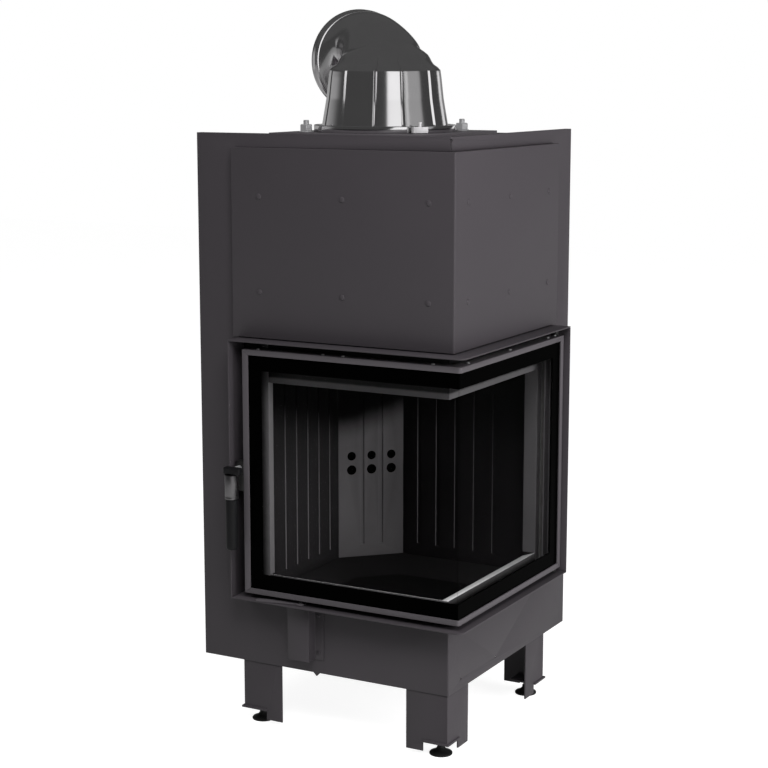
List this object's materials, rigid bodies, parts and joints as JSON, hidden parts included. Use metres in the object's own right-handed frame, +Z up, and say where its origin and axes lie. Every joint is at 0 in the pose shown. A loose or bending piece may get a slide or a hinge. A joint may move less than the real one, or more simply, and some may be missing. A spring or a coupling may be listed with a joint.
{
  "type": "corner fireplace insert",
  "caption": "Steel wood-burning insert glazed on front and right side, with an L-shaped swinging door, a lined fire chamber, screw feet and a fluted flue outlet with a turning elbow.",
  "frame": {"origin": "middle of the base of the bounding box, on the floor under the feet", "axes": "+Z up, +X to the right of the glazed front, +Y towards the back"},
  "size_m": [0.576, 0.5995, 1.352],
  "materials": {
    "casing_paint": "satin dark grey heat-proof paint on folded sheet",
    "black_paint": "satin black heat-proof paint",
    "chamber_steel": "sooty bare plate",
    "lining": "dry matt lining board",
    "door_glass": "flat ceramic glass with a black printed border",
    "rope": "woven sealing rope",
    "bright_steel": "polished stainless steel",
    "zinc": "bright zinc",
    "grip": "dull black"
  },
  "bodies": {
    "body": {"casing_wrap": "casing_paint", "casing_left": "casing_paint", "casing_back": "casing_paint", "casing_top": "casing_paint", "casing_base": "casing_paint", "convection_jacket": "casing_paint", "sill": "casing_paint", "head": "casing_paint", "jamb_left": "casing_paint", "jamb_right": "casing_paint", "surround_top": "casing_paint", "surround_bottom": "casing_paint", "surround_left": "casing_paint", "surround_right": "casing_paint", "air_box": "casing_paint", "air_spigot": "casing_paint", "leg_front_right": "casing_paint", "leg_front_left": "casing_paint", "leg_rear_right": "casing_paint", "leg_rear_left": "casing_paint", "flue_plate": "black_paint", "flue_spigot": "chamber_steel", "chamber_left": "chamber_steel", "chamber_back": "chamber_steel", "chamber_floor": "chamber_steel", "chamber_roof": "chamber_steel", "lining_left": "lining", "lining_corner": "lining", "lining_back": "lining", "lining_right": "lining", "hearth_tray": "lining", "baffle_lower": "lining", "baffle_upper": "lining", "clamp_ring": "bright_steel", "clamp_block": "zinc", "stud_left": "zinc", "stud_right": "zinc", "stud_rear": "zinc", "hinge_lower": "zinc", "hinge_upper": "zinc", "latch_keeper": "zinc"},
    "door": {"door_rail_top": "black_paint", "door_rail_bottom": "black_paint", "door_stile_left": "black_paint", "door_stile_right": "black_paint", "glass_front": "door_glass", "glass_side": "door_glass", "door_seal": "rope", "handle_bracket": "zinc"},
    "handle": {"handle_shaft": "zinc", "handle_hub": "grip", "handle_sleeve": "bright_steel", "handle_grip": "grip"},
    "air_lever": {"air_lever": "black_paint"},
    "flue_cone": {"flue_cone": "bright_steel"},
    "flue_elbow": {"flue_elbow": "bright_steel"},
    "foot_front_right": {"foot_front_right": "zinc"},
    "foot_front_left": {"foot_front_left": "zinc"},
    "foot_rear_right": {"foot_rear_right": "zinc"},
    "foot_rear_left": {"foot_rear_left": "zinc"}
  },
  "joints": [
    {"name": "door_swing", "type": "hinge", "parent": "body", "child": "door", "pos_m": [0.265, 0.175, 0.502], "axis": [0, 0, 1], "range_deg": [0, 95]},
    {"name": "handle_turn", "type": "hinge", "parent": "door", "child": "handle", "pos_m": [-0.1794, -0.252, 0.507], "axis": [0, 1, 0], "range_deg": [0, 80]},
    {"name": "air_lever_swing", "type": "hinge", "parent": "body", "child": "air_lever", "pos_m": [-0.053, -0.253, 0.262], "axis": [0, 0, 1], "range_deg": [0, 60]},
    {"name": "cone_turn", "type": "hinge", "parent": "body", "child": "flue_cone", "pos_m": [-0.033, 0.036, 1.127], "axis": [0, 0, 1], "continuous": true},
    {"name": "elbow_turn", "type": "hinge", "parent": "flue_cone", "child": "flue_elbow", "pos_m": [-0.05126, 0.05188, 1.2545], "axis": [-0.3082, 0.2679, 0.9128], "continuous": true},
    {"name": "foot_front_right_screw", "type": "slide", "parent": "body", "child": "foot_front_right", "axis": [0, 0, -1], "range_m": [-0.008, 0.02]},
    {"name": "foot_front_left_screw", "type": "slide", "parent": "body", "child": "foot_front_left", "axis": [0, 0, -1], "range_m": [-0.008, 0.02]},
    {"name": "foot_rear_right_screw", "type": "slide", "parent": "body", "child": "foot_rear_right", "axis": [0, 0, -1], "range_m": [-0.008, 0.02]},
    {"name": "foot_rear_left_screw", "type": "slide", "parent": "body", "child": "foot_rear_left", "axis": [0, 0, -1], "range_m": [-0.008, 0.02]}
  ]
}
